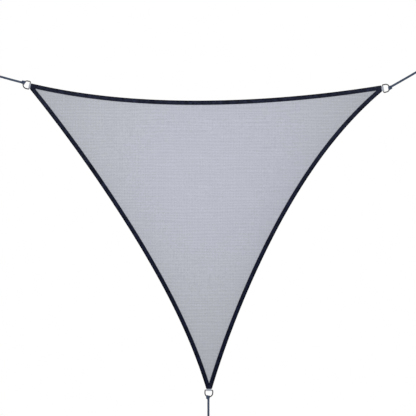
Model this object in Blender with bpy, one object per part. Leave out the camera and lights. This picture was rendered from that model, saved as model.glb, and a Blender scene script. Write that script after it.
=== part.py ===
"""A triangular shade sail, hung upright and stretched by a rope at each corner.

Metres, +Z up. The sail hangs in the XZ plane and its front faces -Y. The origin is the middle of
the round end of the left rope's eye, where the hook that holds the sail goes.
"""

import math

import bmesh
import bpy
from mathutils import Matrix, Vector

GAP = 0.0003  # between pieces that touch
OUT_OF_SAIL = Vector((0, 1, 0))  # the normal of the sail's plane, pointing to its back

HALVINGS = 40  # in a search by halving

# The cloth
CLOTH_THICKNESS = 0.0012
CLOTH_BELLY = 0.010  # how far the middle stands forward of the edges
CLOTH_STEPS = 28  # rows of faces between a corner and the edge across from it
CLOTH_INSET = 0.0022  # how far the cloth stays inside the sail's outline, as a share of its height
CLOTH_MARGIN = 0.003  # how far it ends inside the cut of each corner
FLAT_RIM = 1.03 / CLOTH_STEPS  # the share of the height along each edge that stays flat

# The binding, a webbing that is folded over the cloth's edge
BINDING_WIDTH = 0.025
BINDING_THICKNESS = 0.0012
FOLD_LENGTH = 0.00144  # of the folded edge that is rounded off
FOLD_SHOULDER = (0.3, 0.72)  # a point of that round, as shares of its length and of its height
INNER_LEVEL = CLOTH_THICKNESS / 2 + GAP  # from the cloth's middle to the binding round it
OUTER_LEVEL = INNER_LEVEL + BINDING_THICKNESS + GAP  # to a binding that lies over another
LAP_LENGTH = 0.039  # how far from its end a binding stays over the other one
LAP_EASE = 0.030  # and how far it then takes to come down to the cloth
END_STEP = 0.004
MIDDLE_STEP = 0.075
TURN_LENGTH = 0.036  # where a binding's cross lines have turned square to its edge

# The webbing loop round the bar of each ring, sewn to the back of the corner
LOOP_WIDTH = 0.029
LOOP_THICKNESS = 0.0013
LOOP_LEG = 0.040
LOOP_BEND_OUT = 0.0015  # from the corner's end to where the loop starts to open round the bar
LOOP_ARC_STEPS = 14

# The ring: bent wire with one straight bar, sizes to the middle of the wire
WIRE_RADIUS = 0.0033
RING_WIDTH = 0.0445
RING_HEIGHT = 0.0385
RING_CORNER_RADIUS = 0.0055
RING_SIDES = 8
RING_ARC_STEPS = 14
RING_CORNER_STEPS = 4

# The rope and its knots
ROPE_RADIUS = 0.0062
ROPE_SAG = 0.004  # of its length
ROPE_STEP = 0.018
KNOT_SIDES = 8
CORE_SIDES = 12  # of the rope inside a knot, whose faces so lie clear of those round it
KNOT_STEPS = 16
TURN_HALF_THICKNESS = 0.0022  # of the strands that are pressed flat round the ring's wire
TURN_HALF_WIDTH = 0.0056
TURN_OFFSET = 0.0053  # of each of the two strands from the middle of the two
TURN_ASIDE = 0.0020  # of that middle from the rope's own line
TURN_RADIUS = WIRE_RADIUS + 2 * GAP + TURN_HALF_THICKNESS
COLLAR_RADIUS = 0.0072  # of the hitch on the ring's side, to the middle of its strand
COLLAR_STRAND = 0.0031
COLLAR_OUT = 0.0094  # from the wire to that hitch
COLLAR_ASIDE = 0.0026  # of its middle from the rope's own line
KNOT_LENGTH = 0.0147  # from the wire to where the rope leaves its knot
TAIL_RADIUS = 0.0044
RING_TAIL_LENGTH = 0.0130
RING_TAIL_OUT = 0.0090  # from the wire to the tail of the knot there
RING_TAIL_LEAN = math.radians(95)  # of that tail from the rope
EYE_TAIL_LENGTH = 0.0165
EYE_TAIL_LEAN = math.radians(58)  # of the eye's tail from the rope
EYE_RADIUS = 0.017  # of the eye's round end, to the middle of the rope
EYE_LENGTH = 0.046  # from the middle of the round end to the ends of the loop's two legs
EYE_LEG_APART = ROPE_RADIUS + GAP  # of each leg there, from the middle of the rope
EYE_CORE_START = 0.035  # from the middle of the round end to where the rope lies between the legs
EYE_COLLARS = (0.0435, 0.0525)
EYE_COLLAR_RADIUS = 0.0082
EYE_COLLAR_STRAND = 0.0040
EYE_KNOT_END = 0.0610
EYE_ARC_STEPS = 12
EYE_LEG_STEPS = 5

# tip: where the corner's two edges would meet. mouth: the middle of the cut that ends the corner.
# mouth_angle, ring_angle, rope_angle: the directions of the cut, of the ring and of the rope.
# bar_out: how far the ring's bar lies outside the mouth.
# ring_side: how far the ring sits to the left of the mouth, seen along its own direction.
# loop_side: the same of its loop, in which it slides sideways by a few millimetres.
# hitch_angle: where on its round end the rope is tied. reach: from there to the eye's middle.
# knot_side: the side of the rope on which its knot is thicker: 1 is clockwise, seen from the front.
# Angles are in degrees from +X to +Z.
CORNERS = {
    "left": {
        "tip": (0.2159, -0.0511),
        "mouth": (0.2568, -0.0789),
        "mouth_angle": 167.0,
        "ring_angle": 167.0,
        "bar_out": 0.0075,
        "ring_side": -0.0040,
        "loop_side": -0.0018,
        "hitch_angle": 150.7,
        "rope_angle": 164.7,
        "reach": 0.2230,
        "knot_side": 1,
    },
    "right": {
        "tip": (2.3238, -0.0634),
        "mouth": (2.2649, -0.0929),
        "mouth_angle": 7.0,
        "ring_angle": 13.0,
        "bar_out": 0.0100,
        "ring_side": -0.0020,
        "loop_side": 0.0,
        "hitch_angle": 9.4,
        "rope_angle": 30.0,
        "reach": 0.2620,
        "knot_side": 1,
    },
    "bottom": {
        "tip": (1.2782, -1.8677),
        "mouth": (1.2778, -1.8100),
        "mouth_angle": 270.0,
        "ring_angle": 268.0,
        "bar_out": 0.0100,
        "ring_side": 0.0,
        "loop_side": 0.0,
        "hitch_angle": 263.8,
        "rope_angle": 270.0,
        "reach": 0.1970,
        "knot_side": 1,
    },
}

# Each edge is hollow. sag: how far its middle lies inside the line between the tips.
# start_angle, end_angle: how steeply it leaves that line. over: whether its binding lies over
# the other one at that end.
EDGES = {
    "top": {
        "start": "left",
        "end": "right",
        "sag": 0.1029,
        "start_angle": 13.8,
        "end_angle": 10.1,
        "start_over": True,
        "end_over": True,
    },
    "right": {
        "start": "right",
        "end": "bottom",
        "sag": 0.1493,
        "start_angle": 21.7,
        "end_angle": 14.2,
        "start_over": False,
        "end_over": True,
    },
    "left": {
        "start": "bottom",
        "end": "left",
        "sag": 0.0968,
        "start_angle": 15.0,
        "end_angle": 9.2,
        "start_over": False,
        "end_over": False,
    },
}

# The ring's plane is y = 0, and the loop's two legs lie behind the corner, one each side of it.
LOOP_MIDDLE = OUTER_LEVEL + BINDING_THICKNESS + GAP + LOOP_THICKNESS + GAP / 2
SAIL_Y = -LOOP_MIDDLE

MATERIALS = {
    "cloth": ((0.49, 0.51, 0.58), 0.85, 0.0),
    "binding": ((0.012, 0.013, 0.026), 0.75, 0.0),
    "pale_webbing": ((0.52, 0.55, 0.62), 0.75, 0.0),
    "ring_steel": ((0.45, 0.45, 0.44), 0.30, 1.0),
    "rope": ((0.060, 0.075, 0.105), 0.80, 0.0),
}


def material(name):
    found = bpy.data.materials.get(name)
    if found:
        return found
    color, roughness, metallic = MATERIALS[name]
    made = bpy.data.materials.new(name)
    made.use_nodes = True
    shader = made.node_tree.nodes["Principled BSDF"]
    shader.inputs["Base Color"].default_value = (*color, 1)
    shader.inputs["Roughness"].default_value = roughness
    shader.inputs["Metallic"].default_value = metallic
    made.diffuse_color = (*color, 1)
    return made


def direction(degrees):
    """The unit vector in the sail's plane at an angle from +X to +Z."""
    return Vector((math.cos(math.radians(degrees)), 0, math.sin(math.radians(degrees))))


def in_plane(place, y=0.0):
    return Vector((place[0], y, place[1]))


def smooth_step(share):
    share = min(1.0, max(0.0, share))
    return share * share * (3 - 2 * share)


def add_object(name, mesh, slot, sharp_degrees=40):
    mesh.shade_smooth()
    mesh.set_sharp_from_angle(angle=math.radians(sharp_degrees))
    mesh.materials.clear()
    mesh.materials.append(material(slot))
    made = bpy.data.objects.new(name, mesh)
    bpy.context.collection.objects.link(made)
    return made


def mesh_of_rows(name, rows, closed):
    """A closed body with the rows as its cross-sections, in a loop or with a flat cap at each end."""
    body = bmesh.new()
    rings = [[body.verts.new(point) for point in row] for row in rows]
    pairs = list(zip(rings, rings[1:]))
    if closed:
        pairs.append((rings[-1], rings[0]))
    for near, far in pairs:
        for k in range(len(near)):
            after = (k + 1) % len(near)
            body.faces.new((near[k], near[after], far[after], far[k]))
    if not closed:
        body.faces.new(rings[0])
        body.faces.new(rings[-1])
    bmesh.ops.recalc_face_normals(body, faces=body.faces)
    mesh = bpy.data.meshes.new(name)
    body.to_mesh(mesh)
    body.free()
    return mesh


def ellipse(half_in, half_out, sides):
    """A section's points: how far in the path's plane, and how far out of it."""
    turns = [2 * math.pi * (k + 0.5) / sides for k in range(sides)]
    return [(half_in * math.cos(turn), half_out * math.sin(turn)) for turn in turns]


def rectangle(half_in, half_out):
    return [(-half_in, -half_out), (half_in, -half_out), (half_in, half_out), (-half_in, half_out)]


def swept(name, path, plane_normal, section, closed):
    """The section carried along a flat path."""
    count = len(path)
    rows = []
    for k, point in enumerate(path):
        before = path[k - 1] if closed or k > 0 else point
        after = path[(k + 1) % count] if closed or k < count - 1 else point
        side = plane_normal.cross((after - before).normalized())
        rows.append([point + side * a + plane_normal * b for a, b in section])
    return mesh_of_rows(name, rows, closed)


def circle(middle, axis, radius, steps):
    """Points round an axis."""
    across = axis.orthogonal().normalized() * radius
    turns = [Matrix.Rotation(2 * math.pi * k / steps, 3, axis) for k in range(steps)]
    return [middle + turn @ across for turn in turns]


def union(name, meshes, slot):
    """One solid of several that overlap."""
    parts = [bpy.data.objects.new(f"{name}_{k}", mesh) for k, mesh in enumerate(meshes)]
    for part in parts:
        bpy.context.collection.objects.link(part)
    for part in parts[1:]:
        joint = parts[0].modifiers.new(part.name, "BOOLEAN")
        joint.operation = "UNION"
        joint.object = part
    whole = parts[0].evaluated_get(bpy.context.evaluated_depsgraph_get())
    mesh = bpy.data.meshes.new_from_object(whole)
    for part in parts:
        bpy.data.objects.remove(part)
    return add_object(name, mesh, slot)


# ---- the sail's outline ----


def chord(edge):
    """An edge's first tip, its straight length, the way along it and the way into the sail."""
    start = in_plane(CORNERS[edge["start"]]["tip"])
    end = in_plane(CORNERS[edge["end"]]["tip"])
    along = (end - start).normalized()
    return start, (end - start).length, along, OUT_OF_SAIL.cross(along)


def hollow(edge, t):
    """How far the edge lies inside its chord at a share t of the chord, over the chord's length."""
    length = chord(edge)[1]
    first = math.tan(math.radians(edge["start_angle"]))
    last = math.tan(math.radians(edge["end_angle"]))
    middle = 4 * (4 * edge["sag"] / length - (first + last) / 2)
    return t * (1 - t) * (first * (1 - t) + last * t + middle * t * (1 - t))


def on_edge(edge, t):
    start, length, along, inward = chord(edge)
    return start + along * (length * t) + inward * (length * hollow(edge, t))


def inward_normal(edge, t):
    step = 1e-4
    way = (on_edge(edge, t + step) - on_edge(edge, t - step)).normalized()
    return OUT_OF_SAIL.cross(way)


def past_mouth(corner, point):
    """How far a point lies outside the cut that ends the corner."""
    return (point - in_plane(corner["mouth"])).dot(direction(corner["mouth_angle"]))


def edge_ends(edge):
    """The shares of the chord between which the edge runs, from cut to cut."""
    ends = []
    for corner, outside in ((edge["start"], 0.0), (edge["end"], 1.0)):
        inside = 0.5
        for _ in range(HALVINGS):
            middle = (inside + outside) / 2
            if past_mouth(CORNERS[corner], on_edge(edge, middle)) > 0:
                outside = middle
            else:
                inside = middle
        ends.append((inside + outside) / 2)
    return ends


def along_edge(length):
    """Distances from an edge's start, close together near its ends."""
    end_reach = LAP_LENGTH + LAP_EASE
    near = [END_STEP * k for k in range(round(end_reach / END_STEP))]
    middle = length - 2 * end_reach
    steps = round(middle / MIDDLE_STEP)
    between = [end_reach + middle * k / steps for k in range(steps + 1)]
    return near + between + [length - d for d in reversed(near)]


def binding_level(distance, is_over):
    """The height of the binding's inner face over the cloth's middle, near one of its ends."""
    if not is_over:
        return INNER_LEVEL
    ease = smooth_step((distance - LAP_LENGTH) / LAP_EASE)
    return OUTER_LEVEL + (INNER_LEVEL - OUTER_LEVEL) * ease


def binding_section(width, level):
    """The folded webbing in cross-section: how far into the sail, and how far out of its plane."""
    top = level + BINDING_THICKNESS
    shoulder_in = FOLD_LENGTH * FOLD_SHOULDER[0]
    shoulder_out = top * FOLD_SHOULDER[1]
    return [
        (width, -top),
        (FOLD_LENGTH, -top),
        (shoulder_in, -shoulder_out),
        (0.0, 0.0),
        (shoulder_in, shoulder_out),
        (FOLD_LENGTH, top),
        (width, top),
        (width, level),
        (BINDING_THICKNESS, level),
        (BINDING_THICKNESS, -level),
        (width, -level),
    ]


def make_binding(name, edge):
    first, last = edge_ends(edge)
    length = chord(edge)[1]
    distances = along_edge((last - first) * length)
    whole = distances[-1]
    rows = []
    for distance in distances:
        t = first + distance / length
        point = on_edge(edge, t)
        normal = inward_normal(edge, t)
        across = normal
        for corner, away in ((edge["start"], distance), (edge["end"], whole - distance)):
            cut = OUT_OF_SAIL.cross(direction(CORNERS[corner]["mouth_angle"]))
            if cut.dot(normal) < 0:
                cut = -cut
            if away < TURN_LENGTH:
                across = cut.lerp(normal, smooth_step(away / TURN_LENGTH)).normalized()
        level = max(
            binding_level(distance, edge["start_over"]),
            binding_level(whole - distance, edge["end_over"]),
        )
        stretch = 1 / across.dot(normal)
        rows.append(
            [
                point + across * (a * stretch) + OUT_OF_SAIL * (b + SAIL_Y)
                for a, b in binding_section(BINDING_WIDTH, level)
            ]
        )
    return add_object(name, mesh_of_rows(name, rows, closed=False), "binding")


# ---- the cloth ----


def sail_point(shares):
    """A point of the cloth's middle surface from its shares of the left, right and bottom tips."""
    place = Vector((0, 0, 0))
    for corner, share in shares.items():
        place += in_plane(CORNERS[corner]["tip"]) * share
    for edge in EDGES.values():
        near = shares[edge["start"]] + shares[edge["end"]]
        if near > 0:
            _, length, _, inward = chord(edge)
            place += inward * (length * near * hollow(edge, shares[edge["end"]] / near))
    raised = len(shares) ** len(shares)  # so that the product below is 1 in the middle of the sail
    for share in shares.values():
        raised *= max(0.0, share - FLAT_RIM) / (1 - 3 * FLAT_RIM)
    place.y = SAIL_Y - CLOTH_BELLY * raised
    return place


def make_cloth():
    names = list(CORNERS)
    body = bmesh.new()
    grid = {}
    for i in range(CLOTH_STEPS + 1):
        for j in range(CLOTH_STEPS + 1 - i):
            steps = (i, j, CLOTH_STEPS - i - j)
            shares = [CLOTH_INSET + (1 - 3 * CLOTH_INSET) * s / CLOTH_STEPS for s in steps]
            grid[i, j] = body.verts.new(sail_point(dict(zip(names, shares))))
    for i in range(CLOTH_STEPS):
        for j in range(CLOTH_STEPS - i):
            body.faces.new((grid[i, j], grid[i + 1, j], grid[i, j + 1]))
            if i + j < CLOTH_STEPS - 1:
                body.faces.new((grid[i + 1, j], grid[i + 1, j + 1], grid[i, j + 1]))
    for corner in CORNERS.values():
        outward = direction(corner["mouth_angle"])
        bmesh.ops.bisect_plane(
            body,
            geom=[*body.verts, *body.edges, *body.faces],
            plane_co=in_plane(corner["mouth"]) - outward * CLOTH_MARGIN,
            plane_no=outward,
            clear_outer=True,
        )
    bmesh.ops.recalc_face_normals(body, faces=body.faces)
    mesh = bpy.data.meshes.new("sail_panel")
    body.to_mesh(mesh)
    body.free()
    cloth = add_object("sail_panel", mesh, "cloth")
    thick = cloth.modifiers.new("thickness", "SOLIDIFY")
    thick.thickness = CLOTH_THICKNESS
    thick.offset = 0
    return cloth


# ---- the corners ----


def beside_mouth(corner, side):
    """The point that lies as far out as the ring's bar, and that far to the left of the mouth."""
    out = direction(corner["ring_angle"])
    left = OUT_OF_SAIL.cross(out) * -1
    return in_plane(corner["mouth"]) + out * corner["bar_out"] + left * side


def bar_middle(corner):
    """The middle of the ring's straight bar."""
    return beside_mouth(corner, corner["ring_side"])


def make_loop(name, corner):
    """A strip from the back of the corner, round the ring's bar and back over itself."""
    out = direction(corner["ring_angle"])
    bar = beside_mouth(corner, corner["loop_side"])
    wrap = WIRE_RADIUS + GAP + LOOP_THICKNESS / 2
    leg_gap = (LOOP_THICKNESS + GAP) / 2
    bend = LOOP_BEND_OUT - corner["bar_out"]
    leg_end = -(corner["bar_out"] + LOOP_LEG)
    reach = math.hypot(bend, leg_gap)
    # the angle at the bar between the way back along the ring and the end of the straight run
    meet = math.acos(wrap / reach) + math.atan2(leg_gap, -bend)
    half = [(leg_end, leg_gap), (leg_end + LOOP_LEG / 2, leg_gap), (bend, leg_gap)]
    for k in range(LOOP_ARC_STEPS // 2 + 1):
        turn = math.pi - meet - (math.pi - meet) * k / (LOOP_ARC_STEPS // 2)
        half.append((wrap * math.cos(turn), wrap * math.sin(turn)))
    both = half + [(a, -b) for a, b in reversed(half[:-1])]
    path = [bar + out * a - OUT_OF_SAIL * b for a, b in both]
    sideways = OUT_OF_SAIL.cross(out)
    section = rectangle(LOOP_THICKNESS / 2, LOOP_WIDTH / 2)
    mesh = swept(name, path, sideways, section, closed=False)
    return add_object(name, mesh, "pale_webbing")


def arc(middle, radius, first, last, steps):
    """Points of an arc as pairs, angles in degrees."""
    turns = [math.radians(first + (last - first) * k / steps) for k in range(steps + 1)]
    return [(middle[0] + radius * math.cos(a), middle[1] + radius * math.sin(a)) for a in turns]


def ring_outline():
    """The ring's middle line: how far out from the bar, and how far to its side."""
    half = RING_WIDTH / 2
    straight = RING_HEIGHT - half
    corner = RING_CORNER_RADIUS
    shoulder = half - corner
    line = arc((corner, shoulder), corner, 180, 90, RING_CORNER_STEPS)
    line += arc((straight, 0), half, 90, -90, RING_ARC_STEPS)
    line += arc((corner, -shoulder), corner, 270, 180, RING_CORNER_STEPS)
    return line


def make_ring(name, corner):
    out = direction(corner["ring_angle"])
    side = OUT_OF_SAIL.cross(out)
    path = [bar_middle(corner) + out * a + side * b for a, b in ring_outline()]
    section = ellipse(WIRE_RADIUS, WIRE_RADIUS, RING_SIDES)
    mesh = swept(name, path, OUT_OF_SAIL, section, closed=True)
    return add_object(name, mesh, "ring_steel", sharp_degrees=60)


def hitch_point(corner, aside=0.0):
    """The middle of the ring's wire where the rope is tied, or that far along the wire."""
    out = direction(corner["ring_angle"])
    half = RING_WIDTH / 2
    round_middle = bar_middle(corner) + out * (RING_HEIGHT - half)
    return round_middle + direction(corner["hitch_angle"] + math.degrees(aside / half)) * half


def tail_of(name, start, along, lean, length):
    """A short rope end that leans away from the rope by an angle in the sail's plane."""
    way = Matrix.Rotation(lean, 3, OUT_OF_SAIL) @ along
    path = [start, start + way * (length / 2), start + way * length]
    return swept(name, path, OUT_OF_SAIL, ellipse(TAIL_RADIUS, TAIL_RADIUS, KNOT_SIDES), closed=False)


def make_ring_knot(name, corner):
    """Two turns round the ring's wire, a hitch round the rope itself and a short tail.

    Its own origin is the middle of the wire where the rope is tied.
    """
    hitch = hitch_point(corner)
    rope_way = direction(corner["rope_angle"])
    side = OUT_OF_SAIL.cross(rope_way) * corner["knot_side"]
    straight_rope = ellipse(ROPE_RADIUS, ROPE_RADIUS, CORE_SIDES)
    strand = ellipse(TURN_HALF_THICKNESS, TURN_HALF_WIDTH, KNOT_SIDES)
    collar = ellipse(COLLAR_STRAND, COLLAR_STRAND, KNOT_SIDES)
    parts = []
    for offset in (-TURN_OFFSET, TURN_OFFSET):
        aside = offset - TURN_ASIDE * corner["knot_side"]
        wire_turn = math.degrees(aside / (RING_WIDTH / 2))
        wire_way = OUT_OF_SAIL.cross(direction(corner["hitch_angle"] + wire_turn))
        turn = circle(hitch_point(corner, aside) - hitch, wire_way, TURN_RADIUS, KNOT_STEPS)
        parts.append(swept(name, turn, wire_way, strand, closed=True))
    collar_middle = rope_way * COLLAR_OUT + side * COLLAR_ASIDE
    turn = circle(collar_middle, rope_way, COLLAR_RADIUS, KNOT_STEPS)
    parts.append(swept(name, turn, rope_way, collar, closed=True))
    core = [rope_way * TURN_RADIUS, rope_way * KNOT_LENGTH]
    parts.append(swept(name, core, OUT_OF_SAIL, straight_rope, closed=False))
    lean = RING_TAIL_LEAN * corner["knot_side"]
    parts.append(tail_of(name, rope_way * RING_TAIL_OUT, rope_way, lean, RING_TAIL_LENGTH))
    knot = union(name, parts, "rope")
    knot.location = hitch
    return knot


def make_rope_eye(name, corner):
    """The rope's far end: a loop for a hook, made fast with two hitches round the rope.

    Its own origin is the middle of the loop's round end.
    """
    rope_way = direction(corner["rope_angle"])
    side = OUT_OF_SAIL.cross(rope_way)
    round_end = arc((0, 0), EYE_RADIUS, 90, -90, EYE_ARC_STEPS)
    half_leg = []
    for k in range(EYE_LEG_STEPS):
        share = k / EYE_LEG_STEPS
        width = EYE_LEG_APART + (EYE_RADIUS - EYE_LEG_APART) * smooth_step(share)
        half_leg.append((-EYE_LENGTH * (1 - share), width))
    line = half_leg + round_end + [(a, -b) for a, b in reversed(half_leg)]
    path = [rope_way * a + side * b for a, b in line]
    bent_rope = ellipse(ROPE_RADIUS, ROPE_RADIUS, KNOT_SIDES)
    straight_rope = ellipse(ROPE_RADIUS, ROPE_RADIUS, CORE_SIDES)
    collar = ellipse(EYE_COLLAR_STRAND, EYE_COLLAR_STRAND, KNOT_SIDES)
    parts = [swept(name, path, OUT_OF_SAIL, bent_rope, closed=False)]
    for distance in EYE_COLLARS:
        turn = circle(rope_way * -distance, rope_way, EYE_COLLAR_RADIUS, KNOT_STEPS)
        parts.append(swept(name, turn, rope_way, collar, closed=True))
    core = [rope_way * -EYE_CORE_START, rope_way * -EYE_KNOT_END]
    parts.append(swept(name, core, OUT_OF_SAIL, straight_rope, closed=False))
    tail_start = rope_way * -EYE_COLLARS[1]
    parts.append(tail_of(name, tail_start, -rope_way, EYE_TAIL_LEAN, EYE_TAIL_LENGTH))
    eye = union(name, parts, "rope")
    eye.location = hitch_point(corner) + rope_way * corner["reach"]
    return eye


def rope_route(corner):
    """The rope's middle line from its knot on the ring to its eye, with a slight sag."""
    rope_way = direction(corner["rope_angle"])
    start = hitch_point(corner) + rope_way * (KNOT_LENGTH + GAP)
    length = corner["reach"] - EYE_KNOT_END - KNOT_LENGTH - 2 * GAP
    steps = math.ceil(length / ROPE_STEP)
    level_share = abs(rope_way.x)
    route = []
    for k in range(steps + 1):
        share = k / steps
        drop = 4 * share * (1 - share) * ROPE_SAG * length * level_share
        route.append(start + rope_way * (length * share) - Vector((0, 0, drop)))
    return route


def make_rope(name, corner):
    curve = bpy.data.curves.new(name, "CURVE")
    curve.dimensions = "3D"
    curve.bevel_depth = ROPE_RADIUS
    curve.bevel_resolution = 2
    curve.use_fill_caps = True
    route = rope_route(corner)
    spline = curve.splines.new("POLY")
    spline.points.add(len(route) - 1)
    for place, point in zip(spline.points, route):
        place.co = (*point, 1)
    curve.materials.append(material("rope"))
    made = bpy.data.objects.new(name, curve)
    bpy.context.collection.objects.link(made)
    return made


def main():
    for old in list(bpy.data.objects):
        bpy.data.objects.remove(old)
    make_cloth()
    for name, edge in EDGES.items():
        make_binding(f"border_{name}", edge)
    for name, corner in CORNERS.items():
        make_loop(f"loop_{name}", corner)
        make_ring(f"ring_{name}", corner)
        make_ring_knot(f"ring_knot_{name}", corner)
        make_rope(f"rope_{name}", corner)
        make_rope_eye(f"rope_eye_{name}", corner)


main()
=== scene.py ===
"""The looks of a triangular shade sail that three ropes stretch upright.

Metres, +Z up, in the frame of the solids: the sail hangs in the XZ plane, its front faces -Y, and
the rings and ropes lie in the plane y = 0. The outline, the ropes' routes and the places of the
knots are worked out from the same sizes as the solids.
"""

import math

import bmesh
import bpy
import numpy as np
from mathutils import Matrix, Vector
from mathutils.bvhtree import BVHTree


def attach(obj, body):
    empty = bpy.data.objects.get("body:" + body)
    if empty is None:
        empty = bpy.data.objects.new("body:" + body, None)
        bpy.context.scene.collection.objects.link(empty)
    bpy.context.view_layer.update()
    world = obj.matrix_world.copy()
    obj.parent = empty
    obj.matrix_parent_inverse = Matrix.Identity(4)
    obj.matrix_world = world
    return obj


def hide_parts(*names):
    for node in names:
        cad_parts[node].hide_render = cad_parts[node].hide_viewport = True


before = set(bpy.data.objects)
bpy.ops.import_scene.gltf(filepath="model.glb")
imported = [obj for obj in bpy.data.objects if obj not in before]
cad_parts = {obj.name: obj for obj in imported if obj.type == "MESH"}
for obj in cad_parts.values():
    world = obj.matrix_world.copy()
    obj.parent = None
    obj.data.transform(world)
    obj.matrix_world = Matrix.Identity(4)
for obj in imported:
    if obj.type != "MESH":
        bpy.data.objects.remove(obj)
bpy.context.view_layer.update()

MM = 0.001
BACK = Vector((0, 1, 0))  # out of the sail's plane, towards its back

# ---- sizes shared with the solids ----

GAP = 0.3 * MM
CLOTH_BELLY = 10 * MM
BINDING_WIDTH = 25 * MM
BINDING_THICKNESS = 1.2 * MM
INNER_LEVEL = 0.9 * MM  # from the cloth's middle to the binding round it
OUTER_LEVEL = 2.4 * MM  # to a binding that lies over another
LAP_LENGTH = 39 * MM
LAP_EASE = 30 * MM
TURN_LENGTH = 36 * MM
LOOP_WIDTH = 29 * MM
LOOP_THICKNESS = 1.3 * MM
LOOP_LEG = 40 * MM
LOOP_BEND_OUT = 1.5 * MM
WIRE_RADIUS = 3.3 * MM
RING_WIDTH = 44.5 * MM
RING_HEIGHT = 38.5 * MM
RING_CORNER_RADIUS = 5.5 * MM
ROPE_RADIUS = 6.2 * MM
ROPE_SAG = 0.004
COLLAR_OUT = 9.4 * MM
COLLAR_ASIDE = 2.6 * MM
RING_TAIL_OUT = 9 * MM
EYE_RADIUS = 17 * MM
EYE_LENGTH = 46 * MM
EYE_COLLARS = (43.5 * MM, 52.5 * MM)
SAIL_Y = -(OUTER_LEVEL + BINDING_THICKNESS + GAP + LOOP_THICKNESS + GAP / 2)

CORNERS = {
    "left": {
        "tip": (0.2159, -0.0511),
        "mouth": (0.2568, -0.0789),
        "mouth_angle": 167.0,
        "ring_angle": 167.0,
        "bar_out": 0.0075,
        "ring_side": -0.0040,
        "loop_side": -0.0018,
        "hitch_angle": 150.7,
        "rope_angle": 164.7,
        "reach": 0.2230,
        "knot_side": 1,
    },
    "right": {
        "tip": (2.3238, -0.0634),
        "mouth": (2.2649, -0.0929),
        "mouth_angle": 7.0,
        "ring_angle": 13.0,
        "bar_out": 0.0100,
        "ring_side": -0.0020,
        "loop_side": 0.0,
        "hitch_angle": 9.4,
        "rope_angle": 30.0,
        "reach": 0.2620,
        "knot_side": 1,
    },
    "bottom": {
        "tip": (1.2782, -1.8677),
        "mouth": (1.2778, -1.8100),
        "mouth_angle": 270.0,
        "ring_angle": 268.0,
        "bar_out": 0.0100,
        "ring_side": 0.0,
        "loop_side": 0.0,
        "hitch_angle": 263.8,
        "rope_angle": 270.0,
        "reach": 0.1970,
        "knot_side": 1,
    },
}
EDGES = {
    "top": {
        "start": "left",
        "end": "right",
        "sag": 0.1029,
        "start_angle": 13.8,
        "end_angle": 10.1,
        "start_over": True,
        "end_over": True,
    },
    "right": {
        "start": "right",
        "end": "bottom",
        "sag": 0.1493,
        "start_angle": 21.7,
        "end_angle": 14.2,
        "start_over": False,
        "end_over": True,
    },
    "left": {
        "start": "bottom",
        "end": "left",
        "sag": 0.0968,
        "start_angle": 15.0,
        "end_angle": 9.2,
        "start_over": False,
        "end_over": False,
    },
}

# ---- the photograph's view ----

PIXEL = 5.73 * MM  # a pixel of the photograph, at the sail
IMAGE_PIXELS = 416
VIEW_MIDDLE = (1.2721, -0.7758)
LENS_MM = 85
SENSOR_MM = 36


def direction(degrees):
    """The unit vector in the sail's plane at an angle from +X to +Z."""
    return Vector((math.cos(math.radians(degrees)), 0, math.sin(math.radians(degrees))))


def in_plane(place, y=0.0):
    return Vector((place[0], y, place[1]))


def smooth_step(share):
    share = min(1.0, max(0.0, share))
    return share * share * (3 - 2 * share)


def make_camera():
    distance = PIXEL * IMAGE_PIXELS * LENS_MM / SENSOR_MM
    data = bpy.data.cameras.new("camera")
    data.lens = LENS_MM
    data.sensor_width = SENSOR_MM
    camera = bpy.data.objects.new("camera", data)
    camera.location = in_plane(VIEW_MIDDLE, SAIL_Y / 2 - distance)
    camera.rotation_euler = (math.radians(90), 0, 0)
    bpy.context.collection.objects.link(camera)
    bpy.context.scene.camera = camera
    bpy.context.scene.view_settings.view_transform = "Standard"


make_camera()

# ---- meshes ----


def tube_faces(rows, columns, is_ring=False):
    """The faces of a tube of rows of points, closed over its ends or joined to a ring."""
    r = np.arange(rows if is_ring else rows - 1)[:, None]
    c = np.arange(columns)[None, :]
    below = (r + 1) % rows
    beside = (c + 1) % columns
    corners = (r * columns + c, r * columns + beside, below * columns + beside, below * columns + c)
    faces = np.stack(corners, axis=-1).reshape(-1, 4).tolist()
    if not is_ring:
        last_row = (rows - 1) * columns
        faces += [list(range(columns)), list(range(last_row, last_row + columns))]
    return faces


def add_object(name, mesh, replaced=()):
    """A mesh as a piece of the object, in place of the solids that it stands for."""
    piece = bpy.data.objects.new(name, mesh)
    bpy.context.collection.objects.link(piece)
    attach(piece, "root")
    if replaced:
        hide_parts(*replaced)
    return piece


def smooth_mesh(name, body):
    """A smooth mesh from a bmesh, with its faces turned outwards."""
    bmesh.ops.recalc_face_normals(body, faces=body.faces)
    mesh = bpy.data.meshes.new(name)
    body.to_mesh(mesh)
    body.free()
    mesh.shade_smooth()
    return mesh


def add_piece(name, points, faces, smooth_degrees, replaced=()):
    """A piece from its points and faces, smooth but for edges sharper than that angle."""
    plain = bpy.data.meshes.new(name)
    plain.from_pydata(np.asarray(points).reshape(-1, 3).tolist(), [], faces)
    body = bmesh.new()
    body.from_mesh(plain)
    bpy.data.meshes.remove(plain)
    mesh = smooth_mesh(name, body)
    mesh.set_sharp_from_angle(angle=math.radians(smooth_degrees))
    return add_object(name, mesh, replaced)


def add_measure(piece, name, values):
    """A number for each point of a piece, which its material reads."""
    attribute = piece.data.attributes.new(name, "FLOAT", "POINT")
    attribute.data.foreach_set("value", np.asarray(values, np.float32).ravel())


def add_webbing(name, rows, alongs, acrosses, replaced):
    """Webbing from rows of points, with the distances along and across it for its weave."""
    faces = tube_faces(len(rows), len(rows[0]))
    piece = add_piece(name, rows, faces, 60, replaced)
    add_measure(piece, "along", alongs)
    add_measure(piece, "across", acrosses)
    return piece


# ---- braided rope ----

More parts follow.
